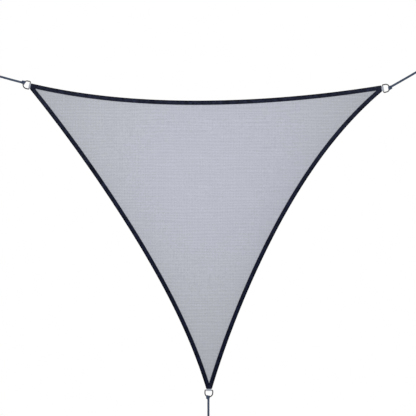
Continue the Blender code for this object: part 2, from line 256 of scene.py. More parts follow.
BRAID_STRANDS = 8  # each way round
BRAID_TURN = 34 * MM  # of rope for one turn of a strand
BRAID_DEPTH = 0.42 * MM
BRAID_MIDDLE = 0.75  # of the braid's height, from 0 to 1, where the rope has its own radius
STRAND_DIP = 0.55  # the share of its height that a strand loses before it goes under the next one
STRAND_CREST = 0.6  # the power that flattens it on top
ROPE_SIDES = 48
ROPE_STEP = 0.8 * MM
MELTED_END = 2.2 * MM  # the length over which a cut end is melted round
MELTED_SHARE = 0.8  # and how much of its section that takes off at the very end
CURVE_STEPS = 12  # between two of the points that a rope's curve goes through


def braid_height(along, turn):
    """How far the braid's strands stand out, from 0 to 1, where each pair crosses over and under."""
    u = turn * BRAID_STRANDS + along / BRAID_TURN * BRAID_STRANDS
    v = turn * BRAID_STRANDS - along / BRAID_TURN * BRAID_STRANDS
    across_u = np.cos(np.pi * (u - np.floor(u) - 0.5))
    across_v = np.cos(np.pi * (v - np.floor(v) - 0.5))
    is_even = (np.floor(u) + np.floor(v)) % 2 == 0
    over = np.where(is_even, across_u, across_v)
    under = np.where(is_even, across_v, across_u)
    crest = np.clip(under, 0, 1) ** STRAND_CREST
    return np.sqrt(np.clip(over, 0, 1)) * (1 - STRAND_DIP * (1 - crest))


def resampled(knots, step):
    """Rows of numbers on a smooth curve through the knots, spaced evenly along it.

    Each row of knots, as knot_row() makes it, holds a point, the way out of what the rope lies on,
    its half thickness that way and its half width.
    """
    knots = np.asarray(knots, float)
    ends = np.concatenate([knots[:1] * 2 - knots[1:2], knots, knots[-1:] * 2 - knots[-2:-1]])
    fine = []
    t = np.linspace(0, 1, CURVE_STEPS, endpoint=False)[:, None]
    for k in range(len(knots) - 1):
        a, b, c, d = ends[k : k + 4]
        line = 2 * b + (c - a) * t
        bend = (2 * a - 5 * b + 4 * c - d) * t**2 + (3 * b - a - 3 * c + d) * t**3
        fine.append((line + bend) / 2)
    fine = np.concatenate([*fine, knots[-1:]])
    lengths = np.linalg.norm(np.diff(fine[:, :3], axis=0), axis=1)
    along = np.concatenate([[0], np.cumsum(lengths)])
    places = np.linspace(0, along[-1], max(3, round(along[-1] / step)))
    return np.stack([np.interp(places, along, column) for column in fine.T], axis=1), places


def knot_row(point, out, half_thickness, half_width=None):
    return [*point, *out, half_thickness, half_width or half_thickness]


def add_rope(name, knots, replaced, has_melted_end=False):
    """A braided rope along a path, as resampled() describes it."""
    rows, along = resampled(knots, ROPE_STEP)
    middle = rows[:, :3]
    way = np.gradient(middle, axis=0)
    way /= np.linalg.norm(way, axis=1)[:, None]
    out = rows[:, 3:6]
    out = out - way * (out * way).sum(1)[:, None]
    out /= np.linalg.norm(out, axis=1)[:, None]
    side = np.cross(way, out)
    shrink = np.ones(len(along))
    if has_melted_end:
        inside = 1 - np.clip((along[-1] - along) / MELTED_END, 0, 1)
        shrink = np.sqrt(1 - MELTED_SHARE * inside**2)
    turn = np.arange(ROPE_SIDES) / ROPE_SIDES
    height = braid_height(along[:, None], turn[None, :])
    relief = BRAID_DEPTH * (height - BRAID_MIDDLE)
    angle = 2 * np.pi * turn
    thick = (rows[:, 6] * shrink)[:, None] + relief
    wide = (rows[:, 7] * shrink)[:, None] + relief
    points = (
        middle[:, None, :]
        + out[:, None, :] * (thick * np.cos(angle))[..., None]
        + side[:, None, :] * (wide * np.sin(angle))[..., None]
    )
    faces = tube_faces(len(along), ROPE_SIDES)
    piece = add_piece(name, points, faces, 75, replaced)
    # the braid's height, which the rope's material turns into painted shade
    add_measure(piece, "relief", height)
    return piece, middle


def beside_mouth(corner, side):
    """The point that lies as far out as the ring's bar, and that far to the left of the mouth."""
    out = direction(corner["ring_angle"])
    return in_plane(corner["mouth"]) + out * corner["bar_out"] - BACK.cross(out) * side


def hitch_point(corner, aside=0.0):
    """The middle of the ring's wire where the rope is tied, or that far along the wire."""
    out = direction(corner["ring_angle"])
    half = RING_WIDTH / 2
    bar_middle = beside_mouth(corner, corner["ring_side"])
    round_middle = bar_middle + out * (RING_HEIGHT - half)
    return round_middle + direction(corner["hitch_angle"] + math.degrees(aside / half)) * half


# ---- the ropes ----

KNOT_UNDER = 8 * MM  # where the rope disappears in its knot on the ring
EYE_UNDER = 48.0 * MM  # and in the knot of its eye, from the middle of the eye's round end
ROUTE_POINTS = 16


def rope_route(corner):
    """The rope's middle line between its two knots, with a slight sag."""
    rope_way = direction(corner["rope_angle"])
    start = hitch_point(corner) + rope_way * KNOT_UNDER
    length = corner["reach"] - EYE_UNDER - KNOT_UNDER
    route = []
    for k in range(ROUTE_POINTS):
        share = k / (ROUTE_POINTS - 1)
        drop = 4 * share * (1 - share) * ROPE_SAG * length * abs(rope_way.x)
        route.append(start + rope_way * (length * share) - Vector((0, 0, drop)))
    return route


# ---- the knots and the eyes ----

TURN_HALF_THICKNESS = 2.3 * MM
TURN_HALF_WIDTH = 5.5 * MM
TURN_OFFSET = 5.3 * MM
TURN_ASIDE = 2.0 * MM
TURN_RADIUS = WIRE_RADIUS + TURN_HALF_THICKNESS
COLLAR_RADIUS = 7.4 * MM
COLLAR_HALVES = (2.9 * MM, 3.19 * MM)  # of its thickness and its width
TAIL_RADIUS = 4.4 * MM
RING_TAIL_LEAN = 95
RING_TAIL_LENGTH = 13.5 * MM
RING_TAIL_LEVEL = 0.7  # how far the tail lies behind the ring, in radii of the collar
RING_TAIL_SHARES = (0.35, 0.6, 0.8, 1.0)
EYE_COLLAR_RADIUS = 8.6 * MM
EYE_COLLAR_HALVES = (3.6 * MM, 4.14 * MM)
EYE_TAIL_LEAN = 58
EYE_TAIL_LENGTH = 16.5 * MM
EYE_TAIL_LEVEL = 0.8  # and behind the eye
EYE_TAIL_SHARES = (0.45, 0.65, 0.85, 1.0)
KNOT_START_RADIUS = 4.6 * MM
EYE_START_RADIUS = 5.0 * MM
EYE_START_ASIDE = 0.6 * MM
EYE_LEG_RADIUS = 5.6 * MM
EYE_ROUND_RADIUS = 5.8 * MM
EYE_LEG_LENGTH = 0.9  # of the eye's length, where its two legs open
EYE_LEG_STEPS = 6

# The angles of the windings' first and last points, and the degrees from each point to the next.
WIRE_TURNS = (50, 680, 18)  # round the ring's wire: 0 is outwards, 90 is behind it
WIRE_CROSSING = (140, 540)  # where these turns move from one side of the rope to the other
COLLAR_TURN = (-62, -260, -18)  # round the rope, beside the ring: 0 is aside, 90 is behind it
EYE_COLLAR_TURNS = (200, 800, 20)  # the same, where the eye closes
EYE_ROUND = (90, -90, -18)  # in the sail's plane, round the eye's middle: 0 is outwards


def winding(first, last, step):
    """The angles of a winding's points in degrees, with both ends."""
    return range(first, last + (1 if step > 0 else -1), step)


def leaning(way, side, degrees):
    """A way that leans from another one towards its side."""
    a = math.radians(degrees)
    return way * math.cos(a) + side * math.sin(a)


def tail_rows(start, way, shares):
    """The rope's free end behind a knot, at shares of the way from where it starts."""
    return [knot_row(start + way * share, BACK, TAIL_RADIUS) for share in shares]


def ring_knot_path(corner):
    """A round turn on the ring's wire and a half hitch round the rope, from under the hitch."""
    rope_way = direction(corner["rope_angle"])
    side = BACK.cross(rope_way) * corner["knot_side"]
    hitch = hitch_point(corner)
    path = [knot_row(hitch + rope_way * KNOT_UNDER, BACK, KNOT_START_RADIUS)]
    before, after = WIRE_CROSSING
    for degrees in winding(*WIRE_TURNS):
        share = min(1.0, max(0.0, (degrees - before) / (after - before)))
        aside = (TURN_OFFSET * (1 - 2 * share) - TURN_ASIDE) * corner["knot_side"]
        radial = direction(corner["hitch_angle"] + math.degrees(aside / (RING_WIDTH / 2)))
        out = leaning(radial, BACK, degrees)
        point = hitch_point(corner, aside) + out * TURN_RADIUS
        path.append(knot_row(point, out, TURN_HALF_THICKNESS, TURN_HALF_WIDTH))
    collar = hitch + rope_way * COLLAR_OUT + side * COLLAR_ASIDE
    for degrees in winding(*COLLAR_TURN):
        out = leaning(side, BACK, degrees)
        path.append(knot_row(collar + out * COLLAR_RADIUS, out, *COLLAR_HALVES))
    tail = hitch + rope_way * RING_TAIL_OUT + BACK * (COLLAR_RADIUS * RING_TAIL_LEVEL)
    tail_way = leaning(rope_way, side, RING_TAIL_LEAN) * RING_TAIL_LENGTH
    return path + tail_rows(tail, tail_way, RING_TAIL_SHARES)


def rope_eye_path(corner):
    """The rope's far end: a loop for a hook, made fast by two turns round the rope."""
    rope_way = direction(corner["rope_angle"])
    side = BACK.cross(rope_way)
    middle = hitch_point(corner) + rope_way * corner["reach"]
    leg_apart = ROPE_RADIUS + GAP

    def at(along, aside):
        return middle + rope_way * along + side * aside

    def leg(way_aside):
        """The points of one of the loop's legs, from the knot to its round end."""
        rows = []
        for k in range(1, EYE_LEG_STEPS):
            share = k / EYE_LEG_STEPS
            width = leg_apart + (EYE_RADIUS - leg_apart) * smooth_step(share)
            point = at(-EYE_LENGTH * EYE_LEG_LENGTH * (1 - share), way_aside * width)
            rows.append(knot_row(point, BACK, EYE_LEG_RADIUS))
        return rows

    path = [knot_row(at(-EYE_UNDER, EYE_START_ASIDE), BACK, EYE_START_RADIUS)] + leg(1)
    for degrees in winding(*EYE_ROUND):
        point = middle + leaning(rope_way, side, degrees) * EYE_RADIUS
        path.append(knot_row(point, BACK, EYE_ROUND_RADIUS))
    path += reversed(leg(-1))
    first, last, _ = EYE_COLLAR_TURNS
    for degrees in winding(*EYE_COLLAR_TURNS):
        share = (degrees - first) / (last - first)
        out = leaning(side, BACK, degrees)
        along = EYE_COLLARS[0] + (EYE_COLLARS[1] - EYE_COLLARS[0]) * share
        point = at(-along, 0) + out * EYE_COLLAR_RADIUS
        path.append(knot_row(point, out, *EYE_COLLAR_HALVES))
    tail = at(-EYE_COLLARS[1], 0) + BACK * (EYE_COLLAR_RADIUS * EYE_TAIL_LEVEL)
    tail_way = leaning(-rope_way, -side, EYE_TAIL_LEAN) * EYE_TAIL_LENGTH
    return path + tail_rows(tail, tail_way, EYE_TAIL_SHARES)


def make_ropes():
    pieces = []
    for name, corner in CORNERS.items():
        knot, _ = add_rope(f"tied_knot_{name}", ring_knot_path(corner), [f"ring_knot_{name}"], True)
        eye, _ = add_rope(f"tied_eye_{name}", rope_eye_path(corner), [f"rope_eye_{name}"], True)
        route = rope_route(corner)
        knots = [knot_row(point, BACK, ROPE_RADIUS) for point in route]
        rope, path = add_rope(f"braided_rope_{name}", knots, [f"rope_{name}"])
        pieces += [rope, knot, eye]
    return pieces


ropes = make_ropes()

# ---- the rings ----

RING_SIDES = 24
RING_ROUND_STEPS = 48
RING_CORNER_STEPS = 10
RING_LEG_STEPS = 4  # between a corner and the round part
RING_BAR_STEPS = 8


def arc(middle, radius, first, last, steps):
    """Points of an arc as pairs, angles in degrees."""
    turns = [math.radians(first + (last - first) * k / steps) for k in range(steps + 1)]
    return [(middle[0] + radius * math.cos(a), middle[1] + radius * math.sin(a)) for a in turns]


def ring_outline():
    """The ring's middle line: how far out from the bar, and how far to its side."""
    half = RING_WIDTH / 2
    straight = RING_HEIGHT - half
    corner = RING_CORNER_RADIUS
    shoulder = half - corner
    leg = [corner + (straight - corner) * k / RING_LEG_STEPS for k in range(1, RING_LEG_STEPS)]
    line = arc((corner, shoulder), corner, 180, 90, RING_CORNER_STEPS)
    line += [(out, half) for out in leg]
    line += arc((straight, 0), half, 90, -90, RING_ROUND_STEPS)
    line += [(out, -half) for out in reversed(leg)]
    line += arc((corner, -shoulder), corner, 270, 180, RING_CORNER_STEPS)
    line += [(0, shoulder * (2 * k / RING_BAR_STEPS - 1)) for k in range(1, RING_BAR_STEPS)]
    return line


def make_ring(name, corner):
    out = direction(corner["ring_angle"])
    side = BACK.cross(out)
    bar_middle = beside_mouth(corner, corner["ring_side"])
    path = [bar_middle + out * a + side * b for a, b in ring_outline()]
    rows = []
    for k, point in enumerate(path):
        way = (path[(k + 1) % len(path)] - path[k - 1]).normalized()
        across = BACK.cross(way)
        turns = [leaning(across, BACK, 360 * j / RING_SIDES) for j in range(RING_SIDES)]
        rows.append([point + turn * WIRE_RADIUS for turn in turns])
    faces = tube_faces(len(rows), RING_SIDES, is_ring=True)
    return add_piece(f"steel_{name}", rows, faces, 75, [name])


rings = [make_ring(f"ring_{name}", corner) for name, corner in CORNERS.items()]

# ---- the webbing loops ----

LEG_STEPS = 20
BEND_STEPS = 6
ARC_STEPS = 14
BEND_EASE = 1.6 * MM  # how far the bend between a leg and the round part is softened
LOOP_COLUMNS = 24
SELVEDGE = 1.6 * MM  # the width over which a webbing's edge is rounded


def loop_path(corner):
    """The middle line of the strip that runs from the corner's back round the ring's bar."""
    out = direction(corner["ring_angle"])
    bar = beside_mouth(corner, corner["loop_side"])
    wrap = WIRE_RADIUS + GAP + LOOP_THICKNESS / 2
    leg_gap = (LOOP_THICKNESS + GAP) / 2
    bend = Vector((LOOP_BEND_OUT - corner["bar_out"], leg_gap))
    start = Vector((-corner["bar_out"] - LOOP_LEG, leg_gap))
    meet = math.pi - math.acos(wrap / bend.length) - math.atan2(leg_gap, -bend.x)
    opening = Vector((wrap * math.cos(meet), wrap * math.sin(meet)))
    before = bend + (start - bend).normalized() * BEND_EASE
    after = bend + (opening - bend).normalized() * BEND_EASE
    half = [start.lerp(before, k / LEG_STEPS) for k in range(LEG_STEPS)]
    for k in range(BEND_STEPS + 1):
        share = k / BEND_STEPS
        half.append(before.lerp(bend, share).lerp(bend.lerp(after, share), share))
    half += arc((0, 0), wrap, math.degrees(meet), 0, ARC_STEPS)
    both = half + [(a, -b) for a, b in reversed(half[:-1])]
    return [bar + out * a - BACK * b for a, b in both]


def make_loop(name, corner):
    """Webbing with softly rounded edges."""
    path = loop_path(corner)
    across_way = BACK.cross(direction(corner["ring_angle"]))
    half_width = LOOP_WIDTH / 2
    turns = [math.pi / 2 * (2 * k / LOOP_COLUMNS - 1) for k in range(LOOP_COLUMNS + 1)]
    places = [math.sin(turn) * half_width for turn in turns]
    outer = [(place, 1) for place in places]
    inner = [(place, -1) for place in places[-2:0:-1]]
    rows = []
    alongs = []
    acrosses = []
    distance = 0.0
    for k, point in enumerate(path):
        before = path[max(0, k - 1)]
        after = path[min(len(path) - 1, k + 1)]
        distance += (point - before).length
        out = across_way.cross((after - before).normalized())
        row = []
        for place, side in outer + inner:
            edge = min(1.0, (half_width - abs(place)) / SELVEDGE)
            height = LOOP_THICKNESS / 2 * math.sqrt(1 - (1 - edge) ** 2)
            row.append(point + across_way * place + out * (side * height))
            alongs.append(distance)
            acrosses.append(place)
        rows.append(row)
    return add_webbing(f"webbing_{name}", rows, alongs, acrosses, [name])


loops = [make_loop(f"loop_{name}", corner) for name, corner in CORNERS.items()]

# ---- the outline ----


def chord(edge):
    """An edge's first tip, its straight length, the way along it and the way into the sail."""
    start = in_plane(CORNERS[edge["start"]]["tip"])
    end = in_plane(CORNERS[edge["end"]]["tip"])
    along = (end - start).normalized()
    return start, (end - start).length, along, BACK.cross(along)


def hollow(edge, t):
    """How far the edge lies inside its chord at a share t of the chord, over the chord's length."""
    length = chord(edge)[1]
    first = math.tan(math.radians(edge["start_angle"]))
    last = math.tan(math.radians(edge["end_angle"]))
    middle = 4 * (4 * edge["sag"] / length - (first + last) / 2)
    return t * (1 - t) * (first * (1 - t) + last * t + middle * t * (1 - t))


def on_edge(edge, t):
    start, length, along, inward = chord(edge)
    return start + along * (length * t) + inward * (length * hollow(edge, t))


def inward_normal(edge, t):
    step = 1e-4
    way = (on_edge(edge, t + step) - on_edge(edge, t - step)).normalized()
    return BACK.cross(way)


def past_mouth(corner, point):
    """How far a point lies outside the cut that ends the corner."""
    return (point - in_plane(corner["mouth"])).dot(direction(corner["mouth_angle"]))


HALVINGS = 40


def edge_ends(edge):
    """The shares of the chord between which the edge runs, from cut to cut."""
    ends = []
    for corner, outside in ((edge["start"], 0.0), (edge["end"], 1.0)):
        inside = 0.5
        for _ in range(HALVINGS):
            middle = (inside + outside) / 2
            if past_mouth(CORNERS[corner], on_edge(edge, middle)) > 0:
                outside = middle
            else:
                inside = middle
        ends.append((inside + outside) / 2)
    return ends


def binding_level(distance, is_over):
    """The height of the binding's inner face over the cloth's middle, near one of its ends."""
    if not is_over:
        return INNER_LEVEL
    ease = smooth_step((distance - LAP_LENGTH) / LAP_EASE)
    return OUTER_LEVEL + (INNER_LEVEL - OUTER_LEVEL) * ease


def edge_frames(edge, step):
    """Along an edge's binding: distance, point, way across, its stretch there and its level."""
    first, last = edge_ends(edge)
    length = chord(edge)[1]
    whole = (last - first) * length
    steps = round(whole / step)
    frames = []
    for k in range(steps + 1):
        distance = whole * k / steps
        t = first + distance / length
        normal = inward_normal(edge, t)
        across = normal
        for corner, away in ((edge["start"], distance), (edge["end"], whole - distance)):
            cut = BACK.cross(direction(CORNERS[corner]["mouth_angle"]))
            if cut.dot(normal) < 0:
                cut = -cut
            if away < TURN_LENGTH:
                across = cut.lerp(normal, smooth_step(away / TURN_LENGTH)).normalized()
        level = max(
            binding_level(distance, edge["start_over"]),
            binding_level(whole - distance, edge["end_over"]),
        )
        frames.append((distance, on_edge(edge, t), across, 1 / across.dot(normal), level))
    return frames


# ---- the bindings ----

BINDING_STEP = 5 * MM
SEAM_PLACES = (12.4 * MM, 21.4 * MM)  # of the two rows of stitches, from the folded edge
SEAM_PINCH = 0.22 * MM
SEAM_SPREAD = 1.7 * MM
PRESSED_LEVEL = 0.35 * MM  # how far the sewn half is pressed towards the cloth
FOLD_SIDE = 6 * MM  # the width beside the fold that isn't pressed
LEAST_HEIGHT = 0.5 * MM  # of the binding's inner face over the cloth's middle
# The binding's outer face in section: its round fold, as places across it in mm and shares of its
# full height, and the places in mm of the lines along its flat part, closest at the two seams.
FOLD_PROFILE = ((0.0, 0.0), (0.12, 0.42), (0.35, 0.70), (0.75, 0.88), (1.3, 0.97), (2.2, 1.0))
FIRST_HALF = (4, 6.5, 9, 10.6, 11.6, 12.4, 13.2, 14.2, 16)
SECOND_HALF = (18, 19.6, 20.6, 21.4, 22.2, 23.2, 24.3, 25)


def binding_height(place):
    """How much lower the binding's outer face is than its full level, at a place across it."""
    lower = 0.0
    for seam in SEAM_PLACES:
        lower += SEAM_PINCH * math.exp(-(((place - seam) / SEAM_SPREAD) ** 2))
    return lower + PRESSED_LEVEL * smooth_step((place - FOLD_SIDE) / (BINDING_WIDTH - FOLD_SIDE))


def binding_profile():
    """Half of the folded webbing's outer face in section: place across, and share of its height."""
    flat = FIRST_HALF + SECOND_HALF
    return [(a * MM, h) for a, h in FOLD_PROFILE] + [(a * MM, 1.0) for a in flat]


def make_binding(name, edge):
    profile = binding_profile()
    fold_end = FOLD_PROFILE[-1][0] * MM
    rows = []
    alongs = []
    acrosses = []
    for distance, point, across, stretch, level in edge_frames(edge, BINDING_STEP):
        outer = []
        inner = []
        for place, share in profile:
            height = (level + BINDING_THICKNESS) * share - binding_height(place) * (share == 1.0)
            outer.append((place, height))
            if place >= fold_end:
                inner.append((place, max(LEAST_HEIGHT, height - BINDING_THICKNESS)))
        section = [(a, -b) for a, b in reversed(outer)] + outer[1:]
        section += list(reversed(inner)) + [(a, -b) for a, b in inner]
        rows.append([point + across * (a * stretch) + BACK * (b + SAIL_Y) for a, b in section])
        alongs += [distance] * len(section)
        acrosses += [a for a, _ in section]
    return add_webbing(f"binding_{name}", rows, alongs, acrosses, [f"border_{name}"])


bindings = [make_binding(name, edge) for name, edge in EDGES.items()]

# ---- stitches ----

STITCH_PITCH = 4.6 * MM
STITCH_LENGTH = 3.7 * MM
THREAD_RADIUS = 0.38 * MM
STITCH_SIDES = 5
# Along a stitch: the share of its length, its size and its height, both as shares of its radius.
STITCH_RINGS = (
    (-0.5, 0.35, -0.25),
    (-0.36, 0.9, 0.15),
    (0.0, 1.0, 0.45),
    (0.36, 0.9, 0.15),
    (0.5, 0.35, -0.25),
)


def stitch_template():
    """A short raised thread: points as shares of its length, and across and up in its radius."""
    points = []
    for along, size, up in STITCH_RINGS:
        for k in range(STITCH_SIDES):
            a = 2 * math.pi * k / STITCH_SIDES
            points.append((along, size * math.cos(a), size * math.sin(a) + up))
    return np.array(points), tube_faces(len(STITCH_RINGS), STITCH_SIDES)


def add_stitches(name, places):
    """Stitches at places, each a middle, the way along and the way out of the cloth."""
    template, template_faces = stitch_template()
    points = []
    faces = []
    for middle, way, out in places:
        side = out.cross(way)
        axes = np.array([way * STITCH_LENGTH, side * THREAD_RADIUS, out * THREAD_RADIUS])
        first = len(points) * len(template)
        points.append(template @ axes + np.array(middle))
        faces += [[first + corner for corner in face] for face in template_faces]
    return add_piece(name, np.concatenate(points), faces, 80)


HIDDEN_END = 30 * MM  # where the stitches of a binding start that lies under another


def seam_places(edge):
    """The stitches of a binding's two seams, on its front and on its back."""
    frames = edge_frames(edge, STITCH_PITCH)
    whole = frames[-1][0]
    places = []
    for k in range(1, len(frames) - 1):
        distance, point, across, stretch, level = frames[k]
        if not edge["start_over"] and distance < HIDDEN_END:
            continue
        if not edge["end_over"] and whole - distance < HIDDEN_END:
            continue
        way = (frames[k + 1][1] - frames[k - 1][1]).normalized()
        for seam in SEAM_PLACES:
            height = level + BINDING_THICKNESS - binding_height(seam)
            for out in (-1, 1):
                middle = point + across * (seam * stretch) + BACK * (SAIL_Y + out * height)
                places.append((middle, way, BACK * out))
    return places


seams = [add_stitches(f"seam_{name}", seam_places(edge)) for name, edge in EDGES.items()]

# ---- the cloth ----

CLOTH_STEPS = 240
CLOTH_THICKNESS = 0.9 * MM
CLOTH_INSET = 0.0016  # how far it stays inside the sail's outline, as a share of its height
CLOTH_MARGIN = 3 * MM  # how far it ends inside the corners' cuts
FLAT_RIM = 0.037  # the share of the height along each edge that has no belly
PUCKER_HEIGHT = 0.22 * MM
PUCKER_PITCH = 31 * MM
PUCKER_REACH = 0.05  # the share of the sail's height over which they fade
PUCKER_RISE = 0.02  # and over which they rise from the edge
SECOND_PUCKER = 0.6  # the height of the broader puckers among them
SECOND_PITCH = 0.37  # and how many of those come to one of the others
SAIL_HEIGHT = 1.73  # of the triangle of the tips, over any of its sides
SEWN_PAINTED_SHADE = 0.035  # painted shade: how much darker the cloth is painted beside its bindings
SEWN_REACH = 30 * MM
SIDE_PAINTED_SHADES = {"top": 0.0, "right": 0.080, "left": 0.055}  # painted shade, more widely along each edge
SIDE_REACH = 150 * MM
CORNER_SHADE = 0.6  # the share of that at the edge's ends
MIDDLE_SHADE = 1.1  # and in its middle


def sail_point(shares):
    """A point of the cloth's middle surface from its shares of the three tips."""
    place = Vector((0, 0, 0))
    pucker = 0.0
    for corner, share in shares.items():
        place += in_plane(CORNERS[corner]["tip"]) * share
    for name, edge in EDGES.items():
        near = shares[edge["start"]] + shares[edge["end"]]
        away = 1 - near
        if near > 0:
            _, length, _, inward = chord(edge)
            t = shares[edge["end"]] / near
            place += inward * (length * near * hollow(edge, t))
            rise = smooth_step(away / PUCKER_RISE) * math.exp(-away / PUCKER_REACH)
            phase = 2 * math.pi * t * length / PUCKER_PITCH
            wave = math.sin(phase) + SECOND_PUCKER * math.sin(phase * SECOND_PITCH + len(name))
            away_from_ends = (4 * t * (1 - t)) ** 2
            pucker += PUCKER_HEIGHT * rise * wave * away_from_ends
    raised = 1.0
    for share in shares.values():
        raised *= 3 * max(0.0, share - FLAT_RIM) / (1 - 3 * FLAT_RIM)
    place.y = SAIL_Y - CLOTH_BELLY * raised + pucker
    return place


def edge_painted_shade(shares):
    """How bright the cloth is painted, from its shares of the three tips: painted shade along its
    edges, 1 far from them.
    """
    tone = 1.0
    for name, edge in EDGES.items():
        away = (1 - shares[edge["start"]] - shares[edge["end"]]) * SAIL_HEIGHT - BINDING_WIDTH
        tone -= SEWN_PAINTED_SHADE * math.exp(-max(0.0, away) / SEWN_REACH)
        t = shares[edge["end"]] / (shares[edge["start"]] + shares[edge["end"]])
        side_painted_shade = CORNER_SHADE + (MIDDLE_SHADE - CORNER_SHADE) * 4 * t * (1 - t)
        tone -= SIDE_PAINTED_SHADES[name] * side_painted_shade * math.exp(-max(0.0, away) / SIDE_REACH)
    return tone


def make_cloth():
    names = list(CORNERS)
    body = bmesh.new()
    tone = body.verts.layers.float.new("tone")
    grid = {}
    for i in range(CLOTH_STEPS + 1):
        for j in range(CLOTH_STEPS + 1 - i):
            steps = (i, j, CLOTH_STEPS - i - j)
            shares = [CLOTH_INSET + (1 - 3 * CLOTH_INSET) * s / CLOTH_STEPS for s in steps]
            shares = dict(zip(names, shares))
            grid[i, j] = body.verts.new(sail_point(shares))
            # the painted shade along the edges, kept in the cloth's tone measure
            grid[i, j][tone] = edge_painted_shade(shares)
    for i in range(CLOTH_STEPS):
        for j in range(CLOTH_STEPS - i):
            body.faces.new((grid[i, j], grid[i + 1, j], grid[i, j + 1]))
            if i + j < CLOTH_STEPS - 1:
                body.faces.new((grid[i + 1, j], grid[i + 1, j + 1], grid[i, j + 1]))
    for corner in CORNERS.values():
        outward = direction(corner["mouth_angle"])
        bmesh.ops.bisect_plane(
            body,
            geom=[*body.verts, *body.edges, *body.faces],
            plane_co=in_plane(corner["mouth"]) - outward * CLOTH_MARGIN,
            plane_no=outward,
            clear_outer=True,
        )
    mesh = smooth_mesh("knitted_cloth", body)
    cloth = add_object("knitted_cloth", mesh, ["sail_panel"])
    thick = cloth.modifiers.new("thickness", "SOLIDIFY")
    thick.thickness = CLOTH_THICKNESS
    thick.offset = 0
    return cloth


cloth = make_cloth()

# ---- the box stitching of the loops ----

BOX_WIDTH = 25 * MM
BOX_LENGTH = 27 * MM
BOX_START = 4 * MM  # from the corner's cut
CLEAR_OF_SAIL = 50 * MM


def line_of_stitches(first, last):
    """The middles and the ways of the stitches between two places in the sail's plane."""
    way = (last - first).normalized()
    length = (last - first).length
    count = max(1, round(length / STITCH_PITCH))
    return [(first + way * (length * (k + 0.5) / count), way) for k in range(count)]


def box_lines(corner):
    """A box with its two diagonals, over the part of the loop that lies behind the corner."""
    out = direction(corner["ring_angle"])
    side = BACK.cross(out)
    bar = beside_mouth(corner, corner["loop_side"])
    near = -(corner["bar_out"] + BOX_START)
    far = near - BOX_LENGTH
    half = BOX_WIDTH / 2
    box = ((near, -half), (near, half), (far, half), (far, -half))
    a, b, c, d = (bar + out * u + side * v for u, v in box)
    lines = []
    for first, last in ((a, b), (b, c), (c, d), (d, a), (a, c), (b, d)):
        lines += line_of_stitches(first, last)
    return lines


def surface(piece):
    """A piece's faces, to find where a line meets them."""
    points = [vertex.co for vertex in piece.data.vertices]
    return BVHTree.FromPolygons(points, [face.vertices for face in piece.data.polygons])


def make_box(name, corner, surfaces):
    """The stitches that hold a loop, on the sail's front and on its back, where they show."""
    places = []
    for middle, way in box_lines(corner):
        for out in (-1, 1):
            start = middle + BACK * (out * CLEAR_OF_SAIL)
            hits = [faces.ray_cast(start, BACK * -out)[0] for faces in surfaces]
            heights = [hit.y * out for hit in hits if hit is not None]
            if heights:
                place = Vector((middle.x, max(heights) * out, middle.z))
                places.append((place, way, BACK * out))
    return add_stitches(f"box_{name}", places)


sewn_through = [surface(piece) for piece in [*bindings, *loops, cloth]]
boxes = [make_box(name, corner, sewn_through) for name, corner in CORNERS.items()]

# ---- materials ----


